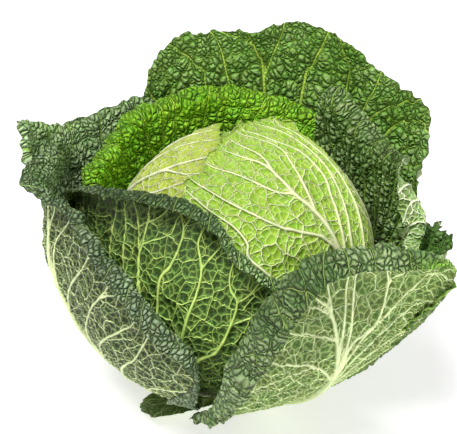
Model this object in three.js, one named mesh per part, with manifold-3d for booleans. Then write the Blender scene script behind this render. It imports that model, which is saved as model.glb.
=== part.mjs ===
// A savoy cabbage: a cut stump, a firm head, and nine loose outer leaves that open around it.
// The head is a ball of packed leaves with four wrapper leaves that stand out of it and close over it.
// Millimetres, +Z up, the origin on the cut face.
//
// Every leaf is placed on rays out of the centre of the head. A ray's azimuth is 0 towards the front
// (-Y), 90 to the right (+X), 180 to the back; its latitude is 0 level and 90 straight up.
// A leaf is a fan of rays from its base arc to its rim. Along a ray the direction turns evenly from
// base to rim, and the distance grows with a power of the way gone (the flare), so the blade hugs
// the head low down and opens near the rim. Past the rim it rolls outwards: an arc, then straight.
import * as THREE from "three";
import { mergeVertices } from "three/addons/utils/BufferGeometryUtils.js";
import Module from "manifold-3d";

const headHeight = 96; // centre of the head over the cut face
const arcShare = 0.65; // share of the roll's length that bends
const leafThick = 1.2; // outer leaves
const headThick = 1.0; // wrapper leaves of the head
const rootShare = 0.13; // share of a wrapper leaf's length in which it comes out of the ball
const blisterRise = 1.8; // outer leaves' blisters, towards the inner face
const headBlisterRise = 0.55;
const ribRise = 2.4; // midrib at the base, on the outer face
const veinRise = 0.9;
const netRise = 0.35;
const heartRadius = 72.6;
const crownSink = 2; // how much lower the crown is than a ball

const darkGreen = "#4f7a3c";
const midGreen = "#6f9c3f";
const paleGreen = "#c2d98a";
const stemCream = "#dfe3b4";

// base: [azimuth, latitude, distance, half width of the base arc]
// rim rows, left to right seen from outside: [azimuth, latitude, distance, roll length, roll turn, flare]
// waist (head leaves): directions half way along the rays; bulge: how far the middle swells out;
// wave: [height, count, phase] of the swell that grows towards the rim
// grid: steps [across, along the blade, along the roll]
const outerLeaves = {
  leaf_back: {
    base: [166, -75.3, 95.4, 7], grid: [26, 14, 1], wave: [3, 4, 0.1], colour: darkGreen,
    rim: [
      [112, -12, 108, 2, 20, 2.6], [116, 8, 118, 2, 20, 2.6], [120, 13, 134, 3, 30, 2.6],
      [125, 20, 143, 3, 40, 2.6], [134, 24, 148, 3, 40, 2.6], [146, 31, 151, 3, 30, 2.6],
      [163, 32, 155, 3, 20, 2.6], [179, 30, 156, 3, 20, 2.6], [193, 29, 156, 3, 20, 2.6],
      [202, 23, 151, 3, 30, 2.4], [207, 14, 142, 3, 30, 2.2], [212, -6, 120, 2, 30, 2],
    ],
  },
  leaf_inner_back: {
    base: [200, -74, 88.3, 7], grid: [24, 9, 3], wave: [1.5, 5, 0.3], colour: midGreen,
    rim: [
      [144, -10, 97, 5, 60, 3], [148, 6, 104, 7, 80, 3], [156, 16, 109, 11, 100, 3],
      [170, 21, 113, 14, 110, 3], [187, 23.5, 115, 14, 110, 3], [202, 23, 115, 14, 110, 3],
      [214, 22, 112, 14, 110, 3], [226, 19, 106, 14, 110, 3], [238, 19, 101, 13, 110, 3],
      [247, 16, 97, 11, 100, 3], [253, 3, 93.5, 7, 80, 3], [256, -12, 91, 5, 60, 3],
    ],
  },
  leaf_right: {
    base: [112, -75, 85, 7], grid: [24, 10, 6], wave: [0, 4, 0], colour: darkGreen,
    rim: [
      [80, -18, 92, 5, -40, 3], [84, 3, 103, 14, -140, 3], [90, 9, 110, 26, -160, 3],
      [96, 15, 109, 22, -150, 3], [101, 19, 106, 11, -90, 3], [107, 22, 103, 12, 60, 3],
      [115, 23, 101, 28, 165, 3], [126, 24, 101, 34, 185, 3], [136, 27, 105, 32, 190, 3],
      [145, 34, 112, 24, 180, 3], [150, 28, 109, 14, 140, 3], [153, 11, 100, 6, 60, 3],
      [152, -8, 93, 4, 40, 3],
    ],
  },
  leaf_right_low: {
    base: [84, -76, 91, 7], grid: [14, 9, 1], wave: [1.5, 3, 0.2], colour: darkGreen,
    rim: [
      [67, -24, 96, 3, 20, 2.5], [67, -4, 104, 3, 20, 2.5], [66, 8, 117, 4, 30, 2.8],
      [69, 16, 131, 4, 30, 2.8], [79, 14, 121, 4, 30, 2.8], [91, 9, 116, 4, 30, 2.8],
      [101, 2, 114, 4, 30, 2.8], [107, -4, 109, 4, 30, 2.5], [107, -24, 98, 3, 30, 2.5],
    ],
  },
  leaf_front_right: {
    base: [38, -76, 91, 7], grid: [28, 12, 6], wave: [0, 4, 0], colour: darkGreen,
    rim: [
      [-24, -47, 100, 2, 40, 2], [-11, -28, 102, 12, 130, 2], [-4, -8, 103.5, 32, 165, 2],
      [3, 8, 105, 40, 168, 2.2], [15, 22, 106, 34, 165, 2.4], [27, 28, 109, 27, 158, 2.6],
      [42, 26, 116, 22, 150, 2.6], [52, 22, 125, 19, 145, 2.4], [58, 17.5, 137, 13, 100, 2.1],
      [60, 10, 139, 6, -10, 2], [59, 3, 124, 6, -45, 2.2], [58, -8, 107, 6, -45, 2],
      [53, -27, 94, 4, -30, 1.5],
    ],
  },
  leaf_front: {
    base: [-32, -75, 85, 7], grid: [24, 11, 3], wave: [0, 4, 0], colour: midGreen,
    rim: [
      [-98, 0, 94, 3, 40, 2.5], [-92, 19, 103, 8, 90, 2.5], [-78, 31, 103, 12, 120, 2.5],
      [-60, 40, 98.5, 15, 140, 2.5], [-42, 45, 92.5, 17, 150, 2.5], [-25, 46, 90.5, 17, 150, 2.5],
      [-12, 41, 89, 17, 150, 2.5], [-3, 32, 88.5, 16, 145, 2.5], [9, 23, 89, 13, 130, 2.5],
      [20, 13, 89.5, 8, 100, 2.5], [26, -12, 88.5, 4, 50, 2.5],
    ],
  },
  leaf_left: {
    base: [-69, -76, 91.8, 7], bulge: 5.5, grid: [26, 12, 6], wave: [0, 4, 0], colour: darkGreen,
    rim: [
      [-124, -10, 104.5, 3, 30, 3.2], [-121, 14, 121, 4, 30, 2.6], [-113, 22, 128, 6, 40, 2.2],
      [-103, 21, 124, 11, 60, 1.8], [-95, 18, 123, 21, 80, 1.4], [-88, 19.5, 117, 18, 100, 1.2],
      [-79, 22, 106, 12, 120, 1.2], [-67, 21, 101, 12, 130, 1.3], [-54, 19, 99.5, 15, 145, 1.5],
      [-40, 14, 97.5, 19, 160, 2], [-27, 5, 97, 20, 160, 2], [-16, -5, 98, 12, 130, 2],
      [-17, -20, 97, 4, 50, 2], [-33, -38, 96.5, 3, 40, 2],
    ],
  },
  leaf_back_left: {
    base: [223, -76, 94.6, 6], grid: [18, 11, 1], wave: [2, 4, 0.4], colour: darkGreen,
    rim: [
      [197, -12, 102, 3, 30, 2.8], [202, 8, 122, 4, 40, 2.8], [208, 17, 134, 5, 50, 2.8],
      [220, 15, 137, 5, 50, 2.8], [232, 15, 140, 5, 50, 2.8], [243, 20, 148, 6, 60, 2.8],
      [249, 22, 147, 7, 70, 2.8], [252, 14, 138, 6, 60, 2.5], [249, -4, 118, 4, 40, 2],
    ],
  },
  leaf_low: {
    base: [-43, -77.3, 95.6, 5], relief: 0.3, grid: [12, 5, 1], wave: [0, 3, 0], colour: midGreen,
    rim: [
      [-82, -62, 103, 2, 20, 2], [-73, -57, 109, 3, 30, 2], [-62, -54, 110, 3, 30, 2],
      [-50, -54, 107, 3, 30, 2], [-42, -60, 101, 2, 20, 2],
    ],
  },
};

// the wrapper leaves, the innermost first
const wrapperLeaves = {
  front: {
    head: true, baseArc: [[14, -45], [38, -50], [62, -35]], distance: 81.5,
    grid: [26, 15, 1], wave: [0, 4, 0],
    waist: [[-2, 20], [22, 24], [50, 23], [63, 26], [72, 24]],
    rim: [
      [-37, 50, 81.7, 2, 20, 1], [-43, 57, 82, 2, 20, 1], [-37, 63, 82, 2, 20, 1],
      [-46, 70, 81, 2, 20, 1], [-52, 77, 80.5, 2, 20, 1], [-75, 83, 80, 2, 20, 1],
      [-140, 85, 79.6, 2, 30, 1], [178, 78, 79.6, 2, 40, 1], [165, 70, 80, 2, 40, 1],
      [155, 61, 80.3, 2, 40, 1], [141, 52, 81, 2, 30, 1],
    ],
  },
  left: {
    head: true, baseArc: [[-140, -40], [-100, -48], [-60, -42]], distance: 78.8,
    grid: [18, 11, 1], wave: [0, 4, 0],
    waist: [[-148, 8], [-120, 18], [-95, 22], [-65, 16], [-38, 4]],
    rim: [
      [-158, 45, 79, 1, 10, 1], [-158, 60, 79, 1, 10, 1], [-145, 72, 77.6, 1, 10, 1],
      [-120, 79, 77.2, 1, 20, 1], [-80, 82, 77, 1, 20, 1], [-45, 78, 77.1, 1, 10, 1],
      [-25, 68, 77.8, 1, 10, 1], [-20, 52, 79, 1, 10, 1], [-22, 34, 79, 1, 10, 1],
    ],
  },
  right: {
    head: true, baseArc: [[62, -45], [98, -50], [132, -40]], distance: 78.6,
    grid: [12, 9, 1], wave: [0, 3, 0],
    waist: [[56, 2], [98, 8], [142, 2]],
    rim: [
      [56, 34, 78.4, 1, 10, 1], [66, 48, 77.8, 1, 10, 1], [84, 57, 77.3, 1, 10, 1],
      [104, 60, 77.3, 1, 10, 1], [124, 56, 77.5, 1, 10, 1], [140, 44, 78.2, 1, 10, 1],
    ],
  },
  back: {
    head: true, baseArc: [[132, -42], [180, -50], [226, -42]], distance: 75.7,
    grid: [12, 9, 1], wave: [0, 3, 0],
    waist: [[122, 4], [180, 8], [236, 4]],
    rim: [
      [112, 42, 75.4, 1, 10, 1], [118, 60, 74.7, 1, 10, 1], [140, 72, 74.2, 1, 10, 1],
      [180, 78, 74, 1, 10, 1], [220, 72, 74, 1, 10, 1], [240, 58, 74.4, 1, 10, 1],
      [246, 40, 75.2, 1, 10, 1],
    ],
  },
};

const radians = THREE.MathUtils.degToRad;

// unit vector of an azimuth and a latitude
function direction([azimuth, latitude]) {
  const a = radians(azimuth), b = radians(latitude);
  return new THREE.Vector3(Math.sin(a) * Math.cos(b), -Math.cos(a) * Math.cos(b), Math.sin(b));
}

// Catmull-Rom through rows of numbers, u from 0 to 1 over the rows; the ends go on straight
function spline(rows, u) {
  const spans = rows.length - 1;
  const s = Math.min(Math.max(u, 0), 1) * spans;
  const i = Math.min(Math.floor(s), spans - 1), f = s - i;
  const row = (k) =>
    k < 0 ? rows[0].map((v, c) => 2 * v - rows[1][c])
    : k > spans ? rows[spans].map((v, c) => 2 * v - rows[spans - 1][c])
    : rows[k];
  const [a, b, c, d] = [row(i - 1), row(i), row(i + 1), row(i + 2)];
  return b.map((v, k) => 0.5 * (2 * v + (c[k] - a[k]) * f
    + (2 * a[k] - 5 * v + 4 * c[k] - d[k]) * f * f + (3 * v - a[k] - 3 * c[k] + d[k]) * f ** 3));
}

const vector = (row) => new THREE.Vector3(row[0], row[1], row[2]);

// where a ray starts: on a short arc beside the stump, or on a head leaf's own base arc
function baseAt(leaf, u) {
  if (leaf.head) {
    const arc = leaf.baseArc.map((p) => direction(p).toArray());
    return vector(spline(arc, u)).normalize().multiplyScalar(leaf.distance);
  }
  const [azimuth, latitude, distance, half] = leaf.base;
  const out = direction([azimuth, latitude]);
  const side = new THREE.Vector3(0, 0, 1).cross(out).normalize();
  return out.multiplyScalar(distance).addScaledVector(side, (u - 0.5) * 2 * half);
}

// the blade's point at u across and t along, from the centre of the head
function bladeAt(leaf, u, t) {
  const base = baseAt(leaf, u);
  const rows = leaf.rim.map((p) => [...direction(p).multiplyScalar(p[2]).toArray(), p[5]]);
  const row = spline(rows, u);
  const rim = vector(row);
  const near = base.length(), far = rim.length();
  const from = base.clone().normalize(), to = rim.clone().normalize();
  const dir = new THREE.Vector3();
  if (leaf.waist) {
    const mid = vector(spline(leaf.waist.map((p) => direction(p).toArray()), u)).normalize();
    dir.addScaledVector(from, 2 * (t - 0.5) * (t - 1)).addScaledVector(mid, -4 * t * (t - 1))
      .addScaledVector(to, 2 * t * (t - 0.5)).normalize();
  } else {
    const angle = from.angleTo(to);
    dir.addScaledVector(from, Math.sin((1 - t) * angle) / Math.sin(angle))
      .addScaledVector(to, Math.sin(t * angle) / Math.sin(angle));
  }
  const [height, count, phase] = leaf.wave;
  const swell = height * t ** 3 * Math.sin(2 * Math.PI * (count * u + phase));
  if (leaf.head && t < rootShare) {
    const out = THREE.MathUtils.smoothstep(t, 0, rootShare);
    return dir.multiplyScalar(THREE.MathUtils.lerp(heartRadius - 1.5, near, out));
  }
  const belly = (leaf.bulge ?? 0) * Math.sin(Math.PI * t) * Math.sin(Math.PI * u) ** 2;
  return dir.multiplyScalar(near + (far - near) * t ** row[3] + swell + belly);
}

// one ray's points: the blade in even steps, then the roll past the rim
function column(leaf, u) {
  const [, along, rolled] = leaf.grid, points = [];
  for (let j = 0; j <= along; j++) points.push(bladeAt(leaf, u, j / along));
  const [length, turnDegrees] = spline(leaf.rim.map((p) => [p[3], p[4]]), u);
  const turn = radians(turnDegrees), tiny = 1e-3;
  const rim = points[along];
  const onward = rim.clone().sub(bladeAt(leaf, u, 1 - tiny)).normalize();
  const across = bladeAt(leaf, Math.min(u + tiny, 1), 1).sub(bladeAt(leaf, Math.max(u - tiny, 0), 1));
  const outward = across.cross(onward).normalize();
  const arc = arcShare * length;
  const bend = Math.abs(turn) < 1e-3 ? 1e-3 : turn, radius = arc / bend;
  for (let j = 1; j <= rolled; j++) {
    const way = length * j / rolled, bent = Math.min(way, arc), straight = way - bent;
    const angle = bend * bent / arc;
    points.push(rim.clone()
      .addScaledVector(onward, radius * Math.sin(angle) + straight * Math.cos(bend))
      .addScaledVector(outward, radius * (1 - Math.cos(angle)) + straight * Math.sin(bend)));
  }
  return points;
}

// blisters stand at the odd crossings of the grid, so the lines between them are the sunken net
function blisterAt(i, j, across, along) {
  if (i === 0 || j === 0 || i === across || j === along) return 0;
  return i % 2 && j % 2 ? 1 : i % 2 || j % 2 ? 0.25 : 0;
}

// what stands out of the outer face: the midrib, the fan of side veins and the net between them
function veinAt(i, j, across, along) {
  const t = j / along, off = Math.abs(i - across / 2);
  if (off < 1) return ribRise * (1 - 0.85 * t);
  const stalk = Math.max(0, 1 - t / 0.3) * ribRise * Math.max(0, 1 - off / (across / 2));
  return Math.max(stalk, i % 4 === 2 ? veinRise * (1 - 0.6 * t) : i % 2 && j % 2 ? 0 : netRise);
}

// a closed blade: an outer and an inner face over the same grid, split alike, and a strip around
function leafGeometry(leaf) {
  const [across, bladeSteps, rollSteps] = leaf.grid, along = bladeSteps + rollSteps;
  const middle = [];
  for (let i = 0; i <= across; i++) middle.push(column(leaf, i / across));
  const relief = leaf.relief ?? 1, rise = relief * (leaf.head ? headBlisterRise : blisterRise);
  const half = (leaf.head ? headThick : leafThick) / 2, scale = leaf.head ? 0.45 : relief;
  const outer = [], inner = [];
  for (let i = 0; i <= across; i++)
    for (let j = 0; j <= along; j++) {
      const sideways = middle[Math.min(i + 1, across)][j].clone().sub(middle[Math.max(i - 1, 0)][j]);
      const onwards = middle[i][Math.min(j + 1, along)].clone().sub(middle[i][Math.max(j - 1, 0)]);
      const normal = sideways.cross(onwards).normalize();
      const sunk = -rise * blisterAt(i, j, across, along);
      const frill = j === along && i % 2 ? 0.8 * scale : 0;
      outer.push(middle[i][j].clone()
        .addScaledVector(normal, sunk + frill + half + scale * veinAt(i, j, across, along)));
      inner.push(middle[i][j].clone().addScaledVector(normal, sunk + frill - half));
    }
  const points = [...outer, ...inner], shift = outer.length, faces = [];
  const at = (i, j) => i * (along + 1) + j;
  for (let i = 0; i < across; i++)
    for (let j = 0; j < along; j++) {
      const [a, b, c, d] = [at(i, j), at(i + 1, j), at(i + 1, j + 1), at(i, j + 1)];
      const cut = (i + j) % 2 ? [[a, b, d], [b, c, d]] : [[a, b, c], [a, c, d]];
      for (const [p, q, r] of cut) faces.push(p, q, r, p + shift, r + shift, q + shift);
    }
  const edge = [];
  for (let i = 0; i < across; i++) edge.push(at(i, 0));
  for (let j = 0; j < along; j++) edge.push(at(across, j));
  for (let i = across; i > 0; i--) edge.push(at(i, along));
  for (let j = along; j > 0; j--) edge.push(at(0, j));
  edge.forEach((p, k) => {
    const q = edge[(k + 1) % edge.length];
    faces.push(q, p, p + shift, q, p + shift, q + shift);
  });
  const flat = new Float32Array(points.flatMap((p) => [p.x, p.y, p.z + headHeight]));
  const geometry = new THREE.BufferGeometry();
  geometry.setAttribute("position", new THREE.BufferAttribute(flat, 3));
  geometry.setIndex(faces);
  geometry.computeVertexNormals();
  return geometry;
}

// the ball of packed leaves: a sphere, a little higher where leaves' edges lie under the skin
function ballGeometry() {
  const geometry = new THREE.SphereGeometry(1, 20, 14);
  geometry.rotateX(Math.PI / 2);
  const position = geometry.getAttribute("position"), p = new THREE.Vector3();
  for (let i = 0; i < position.count; i++) {
    p.fromBufferAttribute(position, i).normalize();
    const fold = Math.abs(Math.sin(1.5 * Math.atan2(p.y, p.x) + 1.2 * p.z));
    const rise = 0.9 * fold * (1 - p.z * p.z) - (p.z > 0 ? crownSink * p.z ** 4 : 0);
    p.multiplyScalar(heartRadius + rise);
    position.setXYZ(i, p.x, p.y, p.z + headHeight);
  }
  geometry.computeVertexNormals();
  return geometry;
}

// the cut stump: flat underneath, slightly waisted, with shallow scars of broken-off leaves
function stumpGeometry() {
  const profile = [[0, 0], [16, 0], [17.6, 1.2], [19, 4], [19.6, 9], [19, 14], [17, 18.5], [12, 21.8],
    [0, 22.8]];
  const geometry = new THREE.LatheGeometry(profile.map(([x, y]) => new THREE.Vector2(x, y)), 20);
  geometry.rotateX(Math.PI / 2);
  const position = geometry.getAttribute("position");
  for (let i = 0; i < position.count; i++) {
    const [x, y, z] = [position.getX(i), position.getY(i), position.getZ(i)];
    if (z < 2 || z > 18) continue;
    const scar = 1 - 0.05 * Math.max(0, Math.cos(5 * Math.atan2(y, x) + 0.4 * z));
    position.setXYZ(i, x * scar, y * scar, z);
  }
  geometry.computeVertexNormals();
  return geometry;
}

const manifold = await Module();
manifold.setup();

function solidOf(geometry) {
  const bare = new THREE.BufferGeometry().setAttribute("position", geometry.getAttribute("position"));
  const whole = mergeVertices(bare.setIndex(geometry.index), 1e-4);
  return new manifold.Manifold(new manifold.Mesh({
    numProp: 3, vertProperties: whole.getAttribute("position").array,
    triVerts: new Uint32Array(whole.index.array),
  }));
}

// the ball and the wrapper leaves that are rooted in it, as one solid
function headGeometry() {
  const parts = [ballGeometry(), ...Object.values(wrapperLeaves).map(leafGeometry)].map(solidOf);
  const mesh = manifold.Manifold.union(parts).getMesh();
  const geometry = new THREE.BufferGeometry();
  geometry.setAttribute("position", new THREE.BufferAttribute(mesh.vertProperties, 3));
  geometry.setIndex(new THREE.BufferAttribute(mesh.triVerts, 1));
  geometry.computeVertexNormals();
  return geometry;
}

function piece(name, geometry, colour, roughness) {
  const mesh = new THREE.Mesh(geometry, new THREE.MeshStandardMaterial({ color: colour, roughness,
    metalness: 0 }));
  mesh.name = name;
  return mesh;
}

const cabbage = new THREE.Group();
cabbage.name = "savoy_cabbage";
cabbage.add(piece("stump", stumpGeometry(), stemCream, 0.7));
cabbage.add(piece("head", headGeometry(), paleGreen, 0.5));
for (const [name, leaf] of Object.entries(outerLeaves))
  cabbage.add(piece(name, leafGeometry(leaf), leaf.colour, 0.6));

export default cabbage;
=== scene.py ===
import math

import bpy
import numpy as np
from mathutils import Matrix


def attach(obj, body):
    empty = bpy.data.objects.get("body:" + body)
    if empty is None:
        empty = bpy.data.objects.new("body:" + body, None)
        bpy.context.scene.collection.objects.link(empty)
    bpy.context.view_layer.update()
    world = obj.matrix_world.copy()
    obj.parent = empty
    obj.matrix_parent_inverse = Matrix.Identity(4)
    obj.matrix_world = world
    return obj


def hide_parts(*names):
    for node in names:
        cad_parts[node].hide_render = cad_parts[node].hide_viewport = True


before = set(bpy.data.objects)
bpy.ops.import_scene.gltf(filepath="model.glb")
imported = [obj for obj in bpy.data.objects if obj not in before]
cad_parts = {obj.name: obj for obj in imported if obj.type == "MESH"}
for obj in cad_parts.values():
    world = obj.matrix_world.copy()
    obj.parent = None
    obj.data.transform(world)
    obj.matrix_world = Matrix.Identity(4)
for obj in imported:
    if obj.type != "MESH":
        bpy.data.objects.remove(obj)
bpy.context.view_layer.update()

# A savoy cabbage: cut stump, firm head, nine loose outer leaves. Lengths are in millimetres and
# angles in degrees until a mesh is made. A direction out of the head's centre is an azimuth, 0 to
# the front and 90 to the right, and a latitude, 90 straight up.
millimetre = 0.001  # in metres, the unit of a mesh
headHeight = 96.0  # centre of the head over the floor
ballRadius = 72.6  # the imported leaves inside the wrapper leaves
rootShare = 0.13  # share of a wrapper leaf in which it comes out of the ball
rootDepth = 1.5  # how deep in the ball it starts
arcShare = 0.65  # share of a roll's length that bends
rowCrowding = 0.8  # under 1, the mesh is closer towards the rim
netUnit = 10.0  # millimetres of flat leaf in one unit of its map
netShift = 3.7  # map units between the nets of two seeds
netLoose = 0.9  # how far a cell's point strays in its square
domeReach = dict(cell=0.5, smallCell=0.48, rimCell=0.48)  # where a cell's dome is full, in cell sizes
veinTop = 0.6  # share of a vein's radius that is its top, from which the cells keep off
thinnest = 0.3  # the radius given where no vein is near
shortestRoll = 0.8
# waves of noise: height, length, and a row or a seed of their own
edgeNotches = ((0.65, 5.5, 0), (0.5, 2.4, 9))
edgeWaves = ((0.7, 6.0, 0), (0.5, 3.2, 5))
rimLumps = ((0.9, 6.5, 8), (0.35, 3.4, 9))


# shapes on grids


# unit vectors: sine and cosine of the azimuth across, sine of the latitude up
def direction(azimuth, latitude):
    a, b = np.radians(azimuth), np.radians(latitude)
    return np.stack([np.sin(a) * np.cos(b), -np.cos(a) * np.cos(b), np.sin(b)], -1)


def unit(v):
    return v / np.maximum(np.linalg.norm(v, axis=-1, keepdims=True), 1e-9)


def ramp(x, low, high):  # smooth step from 0 at low to 1 at high
    f = np.clip((x - low) / (high - low), 0.0, 1.0)
    return f * f * (3.0 - 2.0 * f)


def wayAlong(points):  # the length of a line up to each of its points
    return np.concatenate([[0.0], np.cumsum(np.linalg.norm(np.diff(points, axis=0), axis=1))])


# Catmull-Rom: between two rows a cubic, whose slopes come from the rows on each side
def splineThrough(rows, u):
    rows = np.asarray(rows, float)
    padded = np.vstack([2 * rows[0] - rows[1], rows, 2 * rows[-1] - rows[-2]])
    s = np.clip(u, 0.0, 1.0) * (len(rows) - 1)
    i = np.minimum(s.astype(int), len(rows) - 2)
    f = (s - i)[..., None]
    a, b, c, d = padded[i], padded[i + 1], padded[i + 2], padded[i + 3]
    return 0.5 * (2 * b + (c - a) * f + (2 * a - 5 * b + 4 * c - d) * f**2 + (3 * b - a - 3 * c + d) * f**3)


# smooth noise: random heights at whole numbers, joined by smooth steps, about -1 to 1
def smoothNoise(x, y, seed, size=64):
    table = np.random.default_rng(seed).uniform(-1.0, 1.0, (size, size))
    i, j = np.floor(x).astype(int), np.floor(y).astype(int)
    f, g = x - i, y - j
    f, g = f * f * (3 - 2 * f), g * g * (3 - 2 * g)
    i0, i1, j0, j1 = i % size, (i + 1) % size, j % size, (j + 1) % size
    low = table[i0, j0] * (1 - f) + table[i1, j0] * f
    high = table[i0, j1] * (1 - f) + table[i1, j1] * f
    return low * (1 - g) + high * g


# noise along an edge: waves of a height and a length, each from its own row of the noise
def ruffle(place, seed, waves):
    return sum(high * smoothNoise(place / long, place * 0 + row, seed) for high, long, row in waves)


# where the rays start: on a short straight line beside the stump, or on a wrapper leaf's own arc
def rayStarts(leaf, u):
    if "arc" in leaf:
        arc = np.array(leaf["arc"], float)
        return unit(splineThrough(direction(arc[:, 0], arc[:, 1]), u)) * leaf["distance"]
    azimuth, latitude, distance, half = leaf["base"]
    out = direction(azimuth, latitude)
    side = unit(np.cross([0.0, 0.0, 1.0], out))
    return out * distance + side * ((u - 0.5) * 2 * half)[:, None]


# the blade: along each ray the direction turns evenly from base to rim, or through the waist on a
# parabola, and the distance grows with the way gone to the power of the flare
def bladePoints(leaf, u, t):
    rim = np.array(leaf["rim"], float)
    row = splineThrough(np.column_stack([direction(rim[:, 0], rim[:, 1]) * rim[:, 2:3], rim[:, 5]]), u)
    starts = rayStarts(leaf, u)
    near = np.linalg.norm(starts, axis=1)[:, None]
    far = np.linalg.norm(row[:, :3], axis=1)[:, None]
    a, c = (starts / near)[:, None, :], (row[:, :3] / far)[:, None, :]
    w = t[None, :, None]
    if "waist" in leaf:
        waist = np.array(leaf["waist"], float)
        b = unit(splineThrough(direction(waist[:, 0], waist[:, 1]), u))[:, None, :]
        way = unit(a * 2 * (w - 0.5) * (w - 1) - b * 4 * w * (w - 1) + c * 2 * w * (w - 0.5))
    else:
        angle = np.arccos(np.clip((a * c).sum(-1, keepdims=True), -1, 1))
        way = (np.sin((1 - w) * angle) * a + np.sin(w * angle) * c) / np.sin(angle)
    height, count, phase = leaf["swell"]
    swell = height * t**3 * np.sin(2 * np.pi * (count * u[:, None] + phase))
    belly = leaf["bulge"] * np.sin(np.pi * t) * np.sin(np.pi * u[:, None]) ** 2
    distance = near + (far - near) * t ** row[:, 3:4] + swell + belly
    if "arc" in leaf:  # a wrapper leaf is rooted in the ball
        out = ramp(t, 0.0, rootShare)[None, :]
        distance = np.where(t < rootShare, (ballRadius - rootDepth) * (1 - out) + near * out, distance)
    return way * distance[..., None]


def acrossAt(leaf, u, t):  # one row of the blade, from side to side
    return bladePoints(leaf, u, np.array([t]))[:, 0]


# the whole sheet: the blade, then the roll past the rim, an arc and a straight end that turn from
# the ray's own direction towards the outside
def leafSheet(leaf, u, along, rolled):
    blade = bladePoints(leaf, u, np.linspace(0.0, 1.0, along + 1) ** rowCrowding)
    rim = np.array(leaf["rim"], float)
    roll = splineThrough(rim[:, 3:5], u)
    tiny = 1e-3
    edge = blade[:, -1]
    onward = unit(edge - acrossAt(leaf, u, 1 - tiny))
    lower = acrossAt(leaf, np.maximum(u - tiny, 0), 1.0)
    upper = acrossAt(leaf, np.minimum(u + tiny, 1), 1.0)
    outward = unit(np.cross(upper - lower, onward))
    notches = ruffle(wayAlong(edge), leaf["seed"], edgeNotches)
    length = np.maximum(roll[:, 0] + leaf["ragged"] * notches, shortestRoll)[:, None]
    turn = np.radians(roll[:, 1])[:, None]
    bend = np.where(np.abs(turn) < tiny, tiny, turn)
    arc = arcShare * length
    way = length * np.linspace(0.0, 1.0, rolled + 1)[None, 1:]
    bent = np.minimum(way, arc)
    angle, straight, radius = bend * bent / arc, way - bent, arc / bend
    go = (radius * np.sin(angle) + straight * np.cos(bend))[..., None]
    rise = (radius * (1 - np.cos(angle)) + straight * np.sin(bend))[..., None]
    tail = edge[:, None] + go * onward[:, None] + rise * outward[:, None]
    return np.concatenate([blade, tail], axis=1)


# a place in the flat sheet, given across and along the leaf: between four knots of its net
def onFlat(net, u, w):
    s = np.clip(u, 0.0, 1.0) * (net.shape[0] - 1)
    t = np.clip(w, 0.0, 1.0) * (net.shape[1] - 1)
    i, j = np.minimum(s.astype(int), net.shape[0] - 2), np.minimum(t.astype(int), net.shape[1] - 2)
    f, g = (s - i)[..., None], (t - j)[..., None]
    near = net[i, j] * (1 - g) + net[i, j + 1] * g
    far = net[i + 1, j] * (1 - g) + net[i + 1, j + 1] * g
    return near * (1 - f) + far * f


# the sheet laid flat: a net of threads on it is spread as a fan, the radius being the length along
# the ray, and then drawn many small times to the lengths that its threads have on the sheet
def layFlat(points, threadsAcross=28, threadsAlong=24, rounds=900, draw=0.13):
    steps = np.linalg.norm(np.diff(points, axis=1), axis=2)
    length = np.concatenate([np.zeros((len(points), 1)), np.cumsum(steps, axis=1)], axis=1)
    reach = length[:, -1]
    share = np.linspace(0.0, 1.0, threadsAlong + 1)
    rays = np.linspace(0, len(points) - 1, threadsAcross + 1).round().astype(int)
    solid = [[np.interp(share * reach[i], length[i], points[i, :, k]) for k in range(3)] for i in rays]
    solid = np.transpose(solid, (0, 2, 1))
    widths = np.linalg.norm(np.diff(solid, axis=0), axis=2)
    low, high = threadsAlong // 5, int(0.72 * threadsAlong)  # the fan's angle is measured between these
    total, mean = widths.sum(0), reach.mean()
    spread = max((total[high] - total[low]) / (mean * (share[high] - share[low])), 0.25)
    start = max(total[low] / spread - mean * share[low], 3.0)
    angle = (np.concatenate([[0.0], np.cumsum(widths[:, high])]) / total[high] - 0.5) * spread
    radius = start + reach[rays][:, None] * share
    net = np.stack([radius * np.sin(angle)[:, None], radius * np.cos(angle)[:, None]], -1)
    first, last, every = slice(None, -1), slice(1, None), slice(None)
    threads = [((first, every), (last, every)), ((every, first), (every, last))]
    threads += [((first, first), (last, last)), ((first, last), (last, first))]
    rest = [np.linalg.norm(solid[b] - solid[a], axis=-1, keepdims=True) for a, b in threads]
    for _ in range(rounds):
        pull = np.zeros_like(net)
        for (a, b), wanted in zip(threads, rest):
            gap = net[b] - net[a]
            move = draw * gap * (1 - wanted / np.maximum(np.linalg.norm(gap, axis=-1, keepdims=True), 1e-6))
            pull[a] += move
            pull[b] -= move
        net = net + pull
    return dict(net=net, length=length, reach=reach)


# veins


# a plain fan of veins: each leaves the midrib the lower the wider it ends, and bends to the rays
def fanOfVeins(ends, thick):
    lines = [(2.0 * thick, 0.45, [(50, 0), (50, 35), (51, 70), (49.5, 100)])]
    for end in ends:
        spread = end - 50
        leave = 50 - 0.9 * abs(spread)
        way = [(50, leave), (50 + 0.4 * spread, leave + 0.3 * (100 - leave))]
        way += [(50 + 0.78 * spread, leave + 0.66 * (100 - leave)), (end, 100)]
        lines.append((thick, 0.4, way))
    return lines


# what all twigs share: wobble is a share of a twig's reach and taper of its thickness; the rest is in
# millimetres: the step between its points, what is added to its thickness, and how far it stays
# clear of other lines and of a vein's end
twigs = dict(wobble=0.05, taper=0.4, step=1.2, thinnest=0.08, clear=1.1, lastGap=2.0)


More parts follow.
